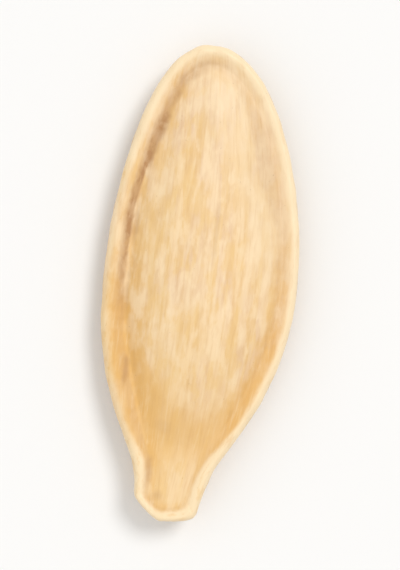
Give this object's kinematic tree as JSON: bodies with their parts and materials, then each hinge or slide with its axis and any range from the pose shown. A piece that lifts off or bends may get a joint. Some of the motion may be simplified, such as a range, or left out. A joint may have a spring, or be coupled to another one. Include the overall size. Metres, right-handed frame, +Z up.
{
  "type": "pumpkin seed",
  "caption": "Flat pumpkin seed in its pale hull, round at one end and drawn out to a blunt beak, with a raised rim, a shallow furrow inside it and a low dome on both faces.",
  "frame": {"origin": "middle of the seed's outline, on the surface that it lies on", "axes": "+Z up through the upper face, +Y along the seed towards its round end, with the beak towards -Y, +X across it towards the fuller flank"},
  "size_m": [0.0094, 0.023, 0.0031],
  "materials": {
    "hull": "matte"
  },
  "bodies": {
    "root": {"pumpkin_seed": "hull"}
  },
  "joints": []
}
